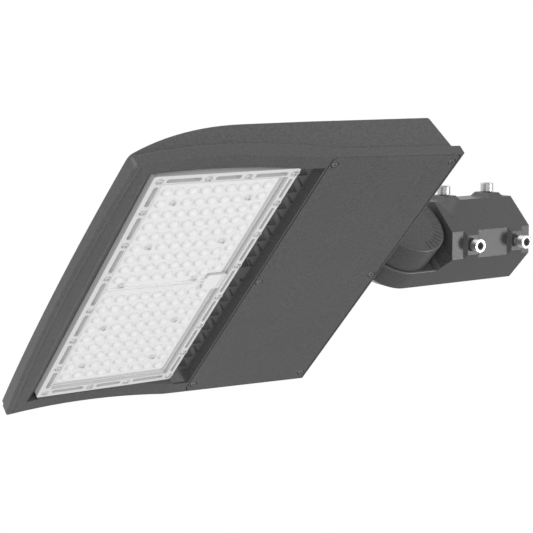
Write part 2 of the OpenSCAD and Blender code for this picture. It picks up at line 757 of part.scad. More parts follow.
// Round lead through axis-aligned points, with quarter bends of radius b
module lead(pts, r, b) {
    n = len(pts);
    for (i = [0 : n - 2]) {
        d = pts[i + 1] - pts[i];
        u = d / norm(d);
        a = pts[i] + (i > 0 ? b : 0) * u;
        e = pts[i + 1] - (i < n - 2 ? b : 0) * u;
        translate(a) rotate([0, acos(u.z), atan2(u.y, u.x)]) cylinder(h = norm(e - a), r = r, $fn = 24);
    }
    for (i = [1 : n - 2]) {
        u = (pts[i] - pts[i - 1]) / norm(pts[i] - pts[i - 1]);
        v = (pts[i + 1] - pts[i]) / norm(pts[i + 1] - pts[i]);
        w = cross(-v, u);
        c = pts[i] - b * u + b * v;
        multmatrix([[-v.x, u.x, w.x, c.x], [-v.y, u.y, w.y, c.y], [-v.z, u.z, w.z, c.z], [0, 0, 0, 1]])
            rotate_extrude(angle = 90) translate([b, 0]) circle(r, $fn = 24);
    }
}

module led_lead() color(rubber) {
    turn_x = driver_x - driver_w / 2 - 8;
    z = plate_z - board_t - led_lead_r;
    lead([[pocket_x - 5, -7.2, z], [pocket_x, -7.2, z], [pocket_x, 0, z], [pocket_x, 0, duct_z],
        [turn_x, 0, duct_z], [turn_x, driver_y1 + 8, duct_z], [driver_x - 24, driver_y1 + 8, duct_z],
        [driver_x - 24, driver_y1, duct_z]], led_lead_r, 3.6);
}

module duct_grommet() color(rubber) difference() {
    union() {
        rod_x(duct_d / 2 - 0.02, box_x - 3, box_x + wall_t + 1.5, 0, duct_z);
        rod_x(duct_d / 2 + 2, box_x + wall_t, box_x + wall_t + 1.5, 0, duct_z);
    }
    rod_x(led_lead_r + 0.02, box_x - 4, box_x + wall_t + 3, 0, duct_z);
}

// Places children on the cover's outer plane, local x from its front edge
module on_cover() {
    translate([cover_x0, 0, cover_z(cover_x0)]) rotate([0, cover_slope, 0]) children();
}

module cover_ring(d0, d1, h) {
    x0 = mouth_x0 - cover_x0;
    x1 = mouth_x1 - cover_x0;
    linear_extrude(h) difference() {
        soft_rect(x0 - d1, x1 + d1, -mouth_y - d1, mouth_y + d1, 4 + d1);
        soft_rect(x0 - d0, x1 + d0, -mouth_y - d0, mouth_y + d0, 4 + d0);
    }
}

module driver_cover() color(cast_grey) on_cover() difference() {
    linear_extrude(cover_t) soft_rect(0, cover_l / cos(cover_slope), -cover_y, cover_y, 5);
    translate([0, 0, cover_t - cseal_t]) cover_ring(0.8, 0.8 + cseal_w, cseal_t + eps);
    for (p = cover_screw_list) translate([(p.x - cover_x0) / cos(cover_slope), p.y, -eps]) {
        cylinder(h = 8, r = cover_screw_d / 2 + 0.2);
        cylinder(h = 1.2 + eps, r = 3.9);
    }
    // Stiffening ribs stay where the inside is thinned
    for (y = [-1, 1], k = [0, 1, 2]) translate([18, y * (10 + k * 48) + (y < 0 ? -42 : 0), cover_t - 0.9])
        cube([mouth_x1 - mouth_x0 - 8, 42, 2]);
}

module cover_gasket() color(rubber) on_cover()
    translate([0, 0, cover_t - cseal_t]) cover_ring(0.8, 0.8 + cseal_w, cseal_t);

module cover_screws() color(steel) for (p = cover_screw_list) on_cover()
    translate([(p.x - cover_x0) / cos(cover_slope), p.y, 1.2])
        pan_screw(cover_screw_d / 2, cover_t + 3.4, 3.4, 1.4);

module led_driver() color([0.75, 0.76, 0.78]) {
    z0 = driver_top - driver_h;
    difference() {
        union() {
            translate([0, (driver_y0 + driver_y1) / 2, 0]) along_y(driver_l)
                translate([driver_x, 0]) soft_rect(-driver_w / 2, driver_w / 2, z0, driver_top, 3);
            // Mounting ears flush with the top
            block(driver_x - driver_w / 2, driver_x + driver_w / 2, driver_y0 - ear_l, driver_y1 + ear_l,
                driver_top - 2, driver_top);
        }
        for (p = driver_screw_list) translate([p.x, p.y, driver_top - 4]) cylinder(h = 8, r = 2.3);
    }
}

module driver_screws() color(steel) for (p = driver_screw_list)
    translate([p.x, p.y, driver_top - 2]) pan_screw(2, post_h + 3.4, 3.6, 2.2);

module driver_leads() color(rubber) {
    for (dx = [-6, 0, 6]) rod_y(lead_r, surge_x + dx, lead_z, driver_y1, surge_y0);
    for (dx = [-6, 0, 6]) rod_y(lead_r, surge_x + dx, lead_z, surge_y0 + surge_size.y, term_y0);
}

// Small box held to the roof by two ears
module roof_box(x, y0, size, top) {
    ym = y0 + size.y / 2;
    difference() {
        union() {
            block(x - size.x / 2, x + size.x / 2, y0, y0 + size.y, top - size.z, top);
            block(x - size.x / 2 - 8, x + size.x / 2 + 8, ym - 5, ym + 5, top - 2, top);
        }
        for (s = [-1, 1]) translate([x + s * (size.x / 2 + 4), ym, top - 4]) cylinder(h = 8, r = 1.8);
    }
}

module surge_protector() color([0.2, 0.3, 0.55]) roof_box(surge_x, surge_y0, surge_size, driver_top);

module surge_screws() color(steel) for (i = [0, 1]) small_screw(small_screw_list[i]);

module small_screw(p) {
    translate([p.x, p.y, driver_top - 2]) pan_screw(1.5, post_h + 3.4, 3, 1.8);
}

module terminal_block() color(white_part) difference() {
    roof_box(surge_x, term_y0, term_size, driver_top);
    // Screw wells of the three poles, and their outer wire entries
    for (k = [-1, 0, 1]) translate([surge_x + k * 6, 0, 0]) {
        translate([0, term_y0 + 8, driver_top - term_size.z - 1]) cylinder(h = 7, r = 2);
        translate([0, term_y0 + term_size.y - 8, driver_top - term_size.z - 1]) cylinder(h = 7, r = 2);
        rod_y(lead_r, 0, lead_z, term_y0 + term_size.y - 7, term_y0 + term_size.y + 1);
    }
}

module terminal_screws() color(steel) for (i = [2, 3]) small_screw(small_screw_list[i]);

module ground_screw() color([0.85, 0.75, 0.35]) translate([ground_x, ground_y, ground_z - 1]) {
    pan_screw(2, post_h + 2.4, 4.4, 3);
    cylinder(h = 1, r = 5);
}

// Triangular teeth in a ring, standing up from z = 0
module tooth_ring() {
    for (k = [0 : teeth - 1]) rotate([0, 0, k * 360 / teeth])
        translate([ring_in_r + 0.6, 0, 0]) rotate([90, 0, 90]) linear_extrude(ring_out_r - ring_in_r - 1.2)
            polygon([[-tooth_w / 2, -0.3], [tooth_w / 2, -0.3], [tooth_w / 2, 0], [0, tooth_h],
                [-tooth_w / 2, 0]]);
}

// Quarter round of radius edge_r from the rim (r, y - s * edge_r) to the face (r - edge_r, y)
function round_edge(r, y, s) = [for (k = [0 : 6])
    [r - edge_r * (1 - cos(k * 15)), y - s * edge_r * (1 - sin(k * 15))]];

// Side view of the arm between its flange and the knuckle
module arm_side() {
    t = (knuckle_r - 1.2) * cos(45);
    x0 = arm_x + arm_flange_t;
    polygon([[x0 - 1, arm_z1], [x0, arm_z1], [pivot_x - t, t], [pivot_x, 0], [pivot_x - t, -t],
        [x0, arm_z0], [x0 - 1, arm_z0]]);
}

module knuckle_arm() color(cast_grey) {
    difference() {
        union() {
            // Knuckle half with a rounded outer edge
            translate([pivot_x, 0, 0]) rotate([90, 0, 0]) rotate_extrude($fn = 96)
                polygon(concat([[0, -arm_out_y], [0, -arm_in_y], [knuckle_r, -arm_in_y]],
                    round_edge(knuckle_r, -arm_out_y, 1)));
            between_y(arm_out_y, arm_in_y) arm_side();
            block(arm_x, arm_x + arm_flange_t, -arm_flange_w / 2, arm_flange_w / 2, arm_z0, arm_z1);
            // Angle marks on the outer face
            for (a = [-mark_span : mark_step : mark_span])
                translate([pivot_x, arm_out_y, 0]) rotate([0, -a, 0])
                    block(mark_r0, knuckle_r - edge_r, -mark_h, 1, -mark_w / 2, mark_w / 2);
        }
        // Sunk ring for the teeth, core recess, bolt thread and wire way
        at_pivot(arm_in_y, 1) ring_cut(ring_in_r, ring_out_r, tooth_h);
        at_pivot(arm_in_y, 1) ring_cut(core_in_r, core_r, arm_w - core_depth);
        rod_y(pivot_d / 2, pivot_x, 0, arm_in_y - thread_depth, arm_in_y + 1);
        rod_x(arm_hole_r, arm_x - 1, pivot_x - core_r + 3, arm_hole_y, arm_hole_z);
        for (y = [-bolt_y, bolt_y], z = bolt_z) rod_x(arm_screw_r, arm_x - 1, arm_x + 7, y, z);
    }
    at_pivot(arm_in_y - tooth_h, 1) tooth_ring();
}

// Places children at the pivot, with +Z out of the face at y towards s
module at_pivot(y, s) {
    translate([pivot_x, y, 0]) rotate([s > 0 ? -90 : 90, 0, 0]) children();
}

// Ring cut from z = 1 down to the depth d
module ring_cut(r0, r1, d) {
    translate([0, 0, -d]) difference() {
        cylinder(h = d + 1, r = r1, $fn = 96);
        translate([0, 0, -1]) cylinder(h = d + 3, r = r0, $fn = 96);
    }
}

module arm_gasket() color(rubber) difference() {
    block(seat_x, arm_x, -arm_flange_w / 2 + 0.5, arm_flange_w / 2 - 0.5, arm_z0 + 0.5, arm_z1 - 0.5);
    for (y = [-bolt_y, bolt_y], z = bolt_z) rod_x(arm_screw_r + 0.3, seat_x - 1, arm_x + 1, y, z);
    rod_x(arm_hole_r + 2, seat_x - 1, arm_x + 1, arm_hole_y, arm_hole_z);
}

// Hexagon-head bolts that hold the arm, put in from inside the driver box
module arm_bolts() color(steel) for (y = [-bolt_y, bolt_y], z = bolt_z) {
    x0 = rear_in_x - 1.6;
    rod_x(arm_screw_r - 0.02, x0, arm_x + arm_flange_t * 0.45, y, z);
    translate([x0 - 5.3, y, z]) rotate([0, 90, 0]) cylinder(h = 5.3, r = 7.5, $fn = 6);
}

module arm_washers() color(steel) for (y = [-bolt_y, bolt_y], z = bolt_z) difference() {
    rod_x(7.6, rear_in_x - 1.6, rear_in_x, y, z);
    rod_x(arm_screw_r + 0.3, rear_in_x - 3, rear_in_x + 1, y, z);
}

module wire_grommet() color(rubber) difference() {
    union() {
        rod_x(arm_hole_r + 1.98, rear_in_x - 2, seat_x - 0.5, arm_hole_y, arm_hole_z);
        rod_x(arm_hole_r + 2.8, rear_in_x - 2, rear_in_x, arm_hole_y, arm_hole_z);
    }
    rod_x(arm_hole_r - 1, rear_in_x - 3, seat_x, arm_hole_y, arm_hole_z);
}

// Eight-sided outline across the fitter, in (y, z)
function octagon(w, a) = [[-w, -a], [-a, -w], [a, -w], [w, -a], [w, a], [a, w], [-a, w], [-w, a]];

// Extrudes a (y, z) outline along X
module along_x(x0, x1) {
    translate([x0, 0, 0]) rotate([90, 0, 90]) linear_extrude(x1 - x0) children();
}

// Places children with +Z along the inward direction of a clamp bolt
module on_bolt(x, up) {
    translate([x, 0, 0]) rotate([up > 0 ? 45 : 135, 0, 0]) mirror([0, 0, 1]) children();
}

// Outward end of a boss: trapezoid along the fitter, standing along the bolt
module boss_block(x, up) {
    h0 = face_d - 2;
    t = boss_taper / 2;
    intersection() {
        on_bolt(x, up) rotate([180, 0, 0]) rotate([90, 0, 0]) linear_extrude(2 * fh, center = true)
            polygon([[-boss_l / 2, h0], [boss_l / 2, h0], [boss_l / 2, face_d],
                [boss_l / 2 - t, boss_d], [-boss_l / 2 + t, boss_d], [-boss_l / 2, face_d]]);
        block(x - boss_l, x + boss_l, -fh, 0, up > 0 ? 0 : -fh, up > 0 ? fh : 0);
    }
}

module slip_fitter() color(cast_grey) {
    difference() {
        union() {
            along_x(-fitter_l, 0) polygon(octagon(fh, fa));
            for (x = [bolt_front_x, bolt_rear_x], up = [-1, 1]) boss_block(x, up);
            ear();
            // Index line for the angle marks
            block(-fitter_l + 9.6, -fitter_l + 13.8, -fh - mark_h, -fh + 1, -mark_w / 2, mark_w / 2);
        }
        // Socket, stop and wire chamber
        rod_x(socket_r, -socket_l, 1, 0, 0);
        rod_x(stop_d / 2, chamber_x - 1, -socket_l + 1, 0, 0);
        intersection() {
            along_x(-fitter_l + front_t, chamber_x) polygon(octagon(fh - chamber_wall, fa - chamber_wall * 0.4));
            block(-fitter_l - 1, 0, -fh, 20, -fh, fh);
        }
        // Way for the leads from the chamber to the knuckle's core
        block(pivot_x + core_in_r + 2, -fitter_l + front_t + 1, ear_in_y + 3, ear_in_y + core_depth, -7, 7);
        at_pivot(ear_in_y, -1) ring_cut(ring_in_r, ring_out_r, tooth_h);
        at_pivot(ear_in_y, -1) ring_cut(core_in_r, core_r, core_depth);
        rod_y(pivot_d / 2 + pivot_fit, pivot_x, 0, ear_in_y - 1, fh + 1);
        rod_y(pivot_head_r + 3.5, pivot_x, 0, pivot_seat_y, fh + 1);
        for (x = [bolt_front_x, bolt_rear_x], up = [-1, 1]) on_bolt(x, up)
            translate([0, 0, -boss_d - 1]) cylinder(h = boss_d + 1 - socket_r * 0.8, r = clamp_r + clamp_fit);
    }
    at_pivot(ear_in_y + tooth_h, -1) tooth_ring();
}

// Round far half of the knuckle: a hub, and a slab that carries on the eight-sided outline
module ear() {
    near = round_edge(fh, ear_in_y, -1);
    side = concat([for (i = [6 : -1 : 0]) [near[i].y, near[i].x]], [[fa, fh], [fh, fa]]);
    at_pivot(0, 1) rotate_extrude($fn = 128)
        polygon(concat([[0, fh], [0, ear_in_y]], [for (i = [6 : -1 : 0]) near[i]], [[fh, fa], [fa, fh]]));
    along_x(pivot_x, -fitter_l + 1) polygon(concat(side, [for (i = [8 : -1 : 0]) [side[i].x, -side[i].y]]));
    // Corners above and below the knuckle that blend the fitter into the ear
    difference() {
        intersection() {
            translate([0, 0, -fh]) linear_extrude(2 * fh)
                polygon([[-fitter_l + 1, -fa], [-fitter_l, -fa], [-fitter_l - 12, ear_in_y + edge_r],
                    [-fitter_l - 12, ear_in_y + 8], [-fitter_l + 1, ear_in_y + 8]]);
            along_x(-fitter_l - 20, -fitter_l + 2) polygon(octagon(fh, fa));
        }
        rod_y(knuckle_r + knuckle_gap, pivot_x, 0, -fh, ear_in_y);
    }
}

module pivot_bolt() color(steel) difference() {
    y1 = pivot_seat_y + seat_gap + washer_t;
    union() {
        rod_y(pivot_d / 2 - 0.03, pivot_x, 0, arm_in_y - thread_depth + 2, y1 + 1);
        rod_y(pivot_head_r, pivot_x, 0, y1, y1 + pivot_head_h);
    }
    translate([pivot_x, y1 + pivot_head_h * 0.5, 0]) rotate([-90, 0, 0])
        cylinder(h = pivot_head_h, r = pivot_d * 0.48, $fn = 6);
}

module pivot_washer() color(steel) difference() {
    rod_y(pivot_head_r + 2.6, pivot_x, 0, pivot_seat_y + seat_gap, pivot_seat_y + seat_gap + washer_t);
    rod_y(pivot_d / 2 + 0.3, pivot_x, 0, pivot_seat_y - 1, pivot_seat_y + washer_t + 2);
}

// Socket-head bolt pointing inward, its head standing off the boss by gap
module clamp_bolt(x, up, gap) color(steel) on_bolt(x, up)
    translate([0, 0, -boss_d - gap]) difference() {
        union() {
            cylinder(h = clamp_l, r = clamp_r);
            translate([0, 0, -clamp_head_h]) cylinder(h = clamp_head_h, r = clamp_head_r);
        }
        translate([0, 0, -clamp_head_h - 1]) cylinder(h = clamp_head_h / 2 + 1, r = clamp_r * 0.86, $fn = 6);
    }
module clamp_bolt_lower_front() clamp_bolt(bolt_front_x, -1, gap_front);
module clamp_bolt_lower_rear() clamp_bolt(bolt_rear_x, -1, gap_rear);
module clamp_bolt_upper_front() clamp_bolt(bolt_front_x, 1, gap_upper);
module clamp_bolt_upper_rear() clamp_bolt(bolt_rear_x, 1, gap_upper);

housing();
lens_panel();
lens_gasket();
led_board_near();
led_board_far();
led_chips();
lens_screws();
board_screws();
led_lead();
duct_grommet();
driver_cover();
cover_gasket();
cover_screws();
led_driver();
driver_screws();
driver_leads();
surge_protector();
surge_screws();
terminal_block();
terminal_screws();
ground_screw();
knuckle_arm();
arm_gasket();
arm_bolts();
arm_washers();
wire_grommet();
slip_fitter();
pivot_bolt();
pivot_washer();
clamp_bolt_lower_front();
clamp_bolt_lower_rear();
clamp_bolt_upper_front();
clamp_bolt_upper_rear();
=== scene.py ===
# LED street light head on a tilting slip fitter, seen from below as in the photograph.
# Metres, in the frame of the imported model: +X to the pole, +Z up, the near side at -Y.
# The CAD nodes keep their shapes and get materials. Four thin strips of trim on the
# casting are made here.
import math
import bmesh
import bpy
from mathutils import Matrix, Vector
from mathutils.bvhtree import BVHTree


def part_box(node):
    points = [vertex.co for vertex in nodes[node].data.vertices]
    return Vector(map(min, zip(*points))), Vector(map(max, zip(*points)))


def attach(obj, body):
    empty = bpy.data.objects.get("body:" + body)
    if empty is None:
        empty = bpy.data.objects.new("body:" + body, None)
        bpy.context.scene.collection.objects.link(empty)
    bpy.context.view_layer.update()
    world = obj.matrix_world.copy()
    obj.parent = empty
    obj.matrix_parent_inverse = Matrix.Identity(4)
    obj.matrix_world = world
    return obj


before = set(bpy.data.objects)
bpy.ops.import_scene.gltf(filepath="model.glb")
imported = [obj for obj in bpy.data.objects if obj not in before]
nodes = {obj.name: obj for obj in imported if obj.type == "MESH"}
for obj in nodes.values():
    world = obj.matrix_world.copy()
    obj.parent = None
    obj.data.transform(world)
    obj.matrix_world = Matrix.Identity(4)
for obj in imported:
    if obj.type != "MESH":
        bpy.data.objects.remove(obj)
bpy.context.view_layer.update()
scene = bpy.context.scene
scene.view_settings.view_transform = "Standard"

# ---- camera, from the fit to the photograph ----
PHOTO_WIDTH, FOCAL_LENGTH = 533.0, 1638.0  # pixels
SENSOR_WIDTH = 36.0  # mm
CAMERA_AT = Vector((-1.1577, -1.0293, -0.7375))
RIGHT = Vector((0.82260, -0.39972, -0.40442))
DOWN = Vector((-0.08243, 0.61990, -0.78035))
AHEAD = Vector((0.56262, 0.67524, 0.47698))

cam_data = bpy.data.cameras.new("camera")
cam_data.sensor_width = SENSOR_WIDTH
cam_data.lens = SENSOR_WIDTH * FOCAL_LENGTH / PHOTO_WIDTH
cam_data.clip_start, cam_data.clip_end = 0.05, 60.0
cam = bpy.data.objects.new("camera", cam_data)
scene.collection.objects.link(cam)
turn = Matrix((RIGHT, -DOWN, -AHEAD)).transposed()
cam.matrix_world = Matrix.Translation(CAMERA_AT) @ turn.to_4x4()
scene.camera = cam

# ---- zones of the materials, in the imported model's frame ----
SLOT_X, SLOT_Z = (-0.3412, -0.3235), (-0.0180, -0.0080)  # the air slot, and its fade
SLOT_TOP, SLOT_HALF = 0.004, 0.1585  # where it ends upwards and to both sides
CORNER_X, CORNER_Y, CORNER_R = -0.5155, 0.1727, 0.0020  # the casting's front corners, with a painted highlight
PIVOT_X, DISC_R, DISC_Y = -0.1407, 0.0370, -0.0320  # the knuckle's near disc
EAR_Y, HUB_X = (-0.0085, 0.0), -0.1085  # the fitter's ear, and where the knuckle ends
FIELD_X, FIELD_HALF_X, FIELD_HALF_Y = -0.4170, 0.0580, 0.1400  # the field of domes
RIB_HALF_Y = 0.0045  # the rib that divides it
HEAD_START, HEAD_FULL = 0.0455, 0.0470  # a clamp bolt's head, from the tenon's axis
KEY_R, KEY_FADE_R = 0.0040, 0.0044  # painted shade in and round its key socket
COS_45 = 0.7071

# ---- numbers of the finishes ----
FINE_NOISE, GRAIN_NOISE, WIDE_NOISE = 1900, 560, 9  # per metre, on the powder coat
WEAR_AND_HIGHLIGHT_TINT = 2.4  # tint of a worn edge and of the painted highlights, against the coat's light tint
SLOT_LIGHT_TINTS = (0.6, 2.6)  # from painted shade at the slot's mouth to painted light in its depth, against the light tint
BOLT_TINT, KEY_SHADE_TINT, KEY_ROUGHER = 0.54, 0.15, 0.42  # clamp bolts, and the painted shade of their key sockets
FIELD_TINT, FRAME_TINT, WALL_SHADE_TINT, LINE_TINT = 0.94, 0.75, 0.70, 0.98  # lens panel; the walls' tint is painted shade
LINE_SHARE = 0.85
FIELD_ALPHA, FRAME_ALPHA = 0.95, 0.96  # seen straight on, and 1 where seen flat
FIELD_LEAN, RIB_LEAN = 0.70, 0.25  # how far the shading normals lean to -Z


def grey(v):
    return (v, v, v)


def scaled(tint, k):
    """A colour times k, at most white."""
    return tuple(min(1.0, v * k) for v in tint)


# ---- nodes ----
class Nodes:
    """Short calls to add and join the nodes of a material or world."""

    def __init__(self, tree):
        self.tree = tree
        tree.nodes.clear()

    def put(self, socket, value):
        """Links an output to the socket, or sets the socket's own number or colour."""
        if isinstance(value, bpy.types.NodeSocket):
            self.tree.links.new(value, socket)
        elif isinstance(value, tuple):
            socket.default_value = (*value, 1.0)[:len(socket.default_value)]
        else:
            socket.default_value = value

    def node(self, kind, sockets=None, **settings):
        n = self.tree.nodes.new("ShaderNode" + kind)
        for key, value in settings.items():
            setattr(n, key, value)
        for key, value in (sockets or {}).items():
            self.put(n.inputs[key], value)
        return n

    def math(self, operation, *values, clamp=False):
        n = self.node("Math", dict(enumerate(values)), operation=operation, use_clamp=clamp)
        return n.outputs[0]

    def product(self, *values):
        result = values[0]
        for value in values[1:]:
            result = self.math("MULTIPLY", result, value)
        return result

    def squares(self, a, b):
        return self.math("ADD", self.product(a, a), self.product(b, b))


class Material(Nodes):
    """A Principled material, with the textures and masks that the finishes use."""

    def __init__(self, name):
        self.mat = bpy.data.materials.new(name)
        self.mat.use_nodes = True
        super().__init__(self.mat.node_tree)
        self.bsdf = self.node("BsdfPrincipled")
        self.node("OutputMaterial", {"Surface": self.bsdf.outputs[0]})
        self.co = self.node("TexCoord").outputs["Object"]
        self.xyz = self.node("SeparateXYZ", {0: self.co}).outputs

    def set(self, name, value):
        self.put(self.bsdf.inputs[name], value)

    def noise(self, scale, detail=2.0, rough=0.5, co=None):
        sockets = {"Scale": scale, "Detail": detail, "Roughness": rough, "Vector": co or self.co}
        return self.node("TexNoise", sockets).outputs["Fac"]

    def span(self, value, a, b, lo, hi):
        """Takes a to lo and b to hi, and stays between them."""
        sockets = {"Value": value, "From Min": a, "From Max": b, "To Min": lo, "To Max": hi}
        return self.node("MapRange", sockets, clamp=True).outputs["Result"]

    def spread(self, noise, lo, hi):
        """Takes the usual range of a noise to lo and hi."""
        return self.span(noise, 0.3, 0.7, lo, hi)

    def mix(self, share, a, b):
        return self.node("Mix", {0: share, 6: a, 7: b}, data_type="RGBA").outputs[2]

    def bevel(self, radius):
        return self.node("Bevel", {"Radius": radius}, samples=6).outputs[0]

    def bump(self, height, strength, distance, normal=None):
        sockets = {"Strength": strength, "Distance": distance, "Height": height}
        if normal is not None:
            sockets["Normal"] = normal
        return self.node("Bump", sockets).outputs[0]

    def edges(self, radius, lo=0.02, hi=0.25):
        """1 on edges, as wide as the radius, and 0 on flats."""
        flat = self.node("NewGeometry").outputs["True Normal"]
        dot = self.node("VectorMath", {0: self.bevel(radius), 1: flat}, operation="DOT_PRODUCT")
        return self.span(self.math("SUBTRACT", 1.0, dot.outputs["Value"]), lo, hi, 0.0, 1.0)

    def turned(self, normal, source, target):
        """A normal taken from one space to another."""
        n = self.node("VectorTransform", {0: normal}, vector_type="NORMAL",
                      convert_from=source, convert_to=target)
        return n.outputs[0]

    def facing(self, normal, axis):
        """How far a normal of the surface points along one of the object's axes, 0 to 1."""
        own = self.turned(self.node("NewGeometry").outputs[normal], "WORLD", "OBJECT")
        return self.math("ABSOLUTE", self.node("SeparateXYZ", {0: own}).outputs[axis])

    def within(self, value, lo, hi):
        return self.product(self.math("GREATER_THAN", value, lo), self.math("LESS_THAN", value, hi))

    def near(self, value, middle, half):
        """1 where the value is less than half from the middle."""
        gap = self.math("ABSOLUTE", self.math("SUBTRACT", value, middle))
        return self.math("LESS_THAN", gap, half)


# ---- powder coat ----
def slot_painted_light(t, base, light):
    """Base colour that gets lighter with depth in the air slot, towards the photograph's tone.

    It stands for light that the lamps don't bring in there, not for the real coating.
    """
    x, y, z = (t.xyz[k] for k in "XYZ")
    inside = t.product(t.within(x, *SLOT_X), t.math("GREATER_THAN", z, SLOT_Z[0]),
                       t.span(z, 0.0, SLOT_TOP, 1.0, 0.0), t.near(y, 0.0, SLOT_HALF))
    # Painted shade at the slot's mouth and painted light in its depth
    mouth, depth = (scaled(light, k) for k in SLOT_LIGHT_TINTS)
    return t.mix(inside, base, t.mix(t.span(z, *SLOT_Z, 0.0, 1.0), mouth, depth))


def corner_painted_highlight(t):
    """Painted highlight, 1 down the casting's front corners, which are sharp in the solids: it
    lightens them as a lit rounded corner would look.
    """
    dx = t.math("SUBTRACT", t.xyz["X"], CORNER_X)
    dy = t.math("SUBTRACT", t.math("ABSOLUTE", t.xyz["Y"]), CORNER_Y)
    return t.span(t.math("SQRT", t.squares(dx, dy)), CORNER_R * 0.6, CORNER_R, 1.0, 0.0)


def hub_painted_highlight(t):
    """Painted highlight, 1 on the fillets of the knuckle's disc and ear, too wide for the bevel
    node, lightened as worn edges are.
    """
    x, y, z = (t.xyz[k] for k in "XYZ")
    sideways = t.facing("Normal", "Y")
    fillet = t.product(t.span(sideways, 0.25, 0.5, 0.0, 1.0),
                       t.span(sideways, 0.8, 0.96, 1.0, 0.0), t.math("LESS_THAN", x, HUB_X))
    r_squared = t.squares(t.math("SUBTRACT", x, PIVOT_X), z)
    disc = t.product(t.math("LESS_THAN", y, DISC_Y), t.math("LESS_THAN", r_squared, DISC_R ** 2))
    return t.product(fillet, t.math("ADD", t.within(y, *EAR_Y), disc, clamp=True))


def powder_coat(name, dark, light, radius=0.0009, grain=1.0, rough=0.43, level=0.38,
                rub_and_highlight=0.35, tone=None, painted_highlight=None):
    """Fine-grained powder coat with soft edges, an uneven tone and lighter worn edges.

    tone changes the base colour, and painted_highlight gives more places that are lightened as worn
    edges are: painted highlights.
    """
    t = Material(name)
    fine = t.noise(FINE_NOISE, 3.0, 0.6)
    mid = t.noise(GRAIN_NOISE)
    wide = t.noise(WIDE_NOISE, 3.0, 0.55)
    speck = t.math("ADD", t.product(fine, 0.2), t.product(mid, 0.8))
    uneven = t.math("ADD", t.product(t.span(speck, 0.35, 0.65, 0.0, 1.0), 0.7),
                    t.product(wide, 0.3))
    base = t.mix(uneven, dark, light)
    if tone:
        base = tone(t, base, light)
    edge = t.edges(radius * 1.2)
    # Painted highlights where the edge mask misses them
    if painted_highlight:
        edge = t.math("MAXIMUM", edge, painted_highlight(t))
    # Lighter worn edges, and the painted highlights on corners and fillets
    wear_and_highlight = t.product(edge, t.span(wide, 0.35, 0.7, 0.3 * rub_and_highlight, rub_and_highlight))
    t.set("Base Color", t.mix(wear_and_highlight, base, scaled(light, WEAR_AND_HIGHLIGHT_TINT)))
    t.set("Roughness", t.spread(mid, rough - 0.05, rough + 0.05))
    t.set("Specular IOR Level", level)
    pitted = t.bump(fine, 0.22 * grain, 0.00012, t.bevel(radius))
    t.set("Normal", t.bump(mid, 0.10 * grain, 0.0003, pitted))
    return t.mat


# ---- metals, rubber and plastics ----
def metal(name, tint, rough, lines=900.0):
    """Metal with fine lines along Z and faint spots."""
    t = Material(name)
    drawn = t.node("VectorMath", {0: t.co, 1: (1.0, 1.0, 0.12)}, operation="MULTIPLY")
    brush = t.noise(lines, 3.0, 0.6, drawn.outputs[0])
    spots = t.spread(t.noise(240, 3.0, 0.6), 0.0, 1.0)
    t.set("Base Color", t.mix(spots, scaled(tint, 0.82), tint))
    t.set("Metallic", 1.0)
    t.set("Roughness", t.spread(brush, rough - 0.04, rough + 0.06))
    t.set("Normal", t.bump(brush, 0.05, 0.00004, t.bevel(0.0003)))
    return t.mat


def socket_bolt(name, x_mid, side):
    """Zinc bolt at 45 degrees, its axis through (x_mid, 0, 0), with painted shade in and round its
    key socket.

    side is 1 where the axis runs along y = z, and -1 where it runs along y = -z. The painted shade,
    dark grey, makes the key socket look wider than it is in the solid.
    """
    t = Material(name)
    y, z = t.xyz["Y"], t.product(t.xyz["Z"], side)
    across = t.product(t.math("SUBTRACT", y, z), COS_45)
    along = t.product(t.math("ADD", y, z), -COS_45)
    r = t.math("SQRT", t.squares(t.math("SUBTRACT", t.xyz["X"], x_mid), across))
    # Painted shade in and round the key socket
    socket_shade = t.product(t.span(r, KEY_R, KEY_FADE_R, 1.0, 0.0),
                      t.span(along, HEAD_START, HEAD_FULL, 0.0, 1.0))
    brush = t.noise(900.0, 3.0, 0.6)
    t.set("Base Color", t.mix(socket_shade, grey(BOLT_TINT), grey(KEY_SHADE_TINT)))
    t.set("Metallic", t.math("SUBTRACT", 1.0, socket_shade))
    plain = t.spread(brush, 0.34, 0.44)
    t.set("Roughness", t.math("MULTIPLY_ADD", socket_shade, KEY_ROUGHER, plain))
    t.set("Normal", t.bump(brush, 0.05, 0.00004, t.bevel(0.0006)))
    return t.mat


def rubber(name, tint, rough=0.7):
    t = Material(name)
    grain = t.noise(1400, 2.0, 0.6)
    t.set("Base Color", t.mix(t.noise(60), scaled(tint, 0.75), scaled(tint, 1.2)))
    t.set("Roughness", t.spread(grain, rough - 0.1, rough + 0.1))
    t.set("Normal", t.bump(grain, 0.2, 0.0001))
    return t.mat


def plastic(name, tint, rough):
    t = Material(name)
    grain = t.noise(900.0)
    t.set("Base Color", t.mix(t.noise(35), scaled(tint, 0.9), tint))
    t.set("Roughness", t.spread(grain, rough - 0.08, rough + 0.08))
    t.set("Normal", t.bump(grain, 0.1, 0.0001))
    return t.mat


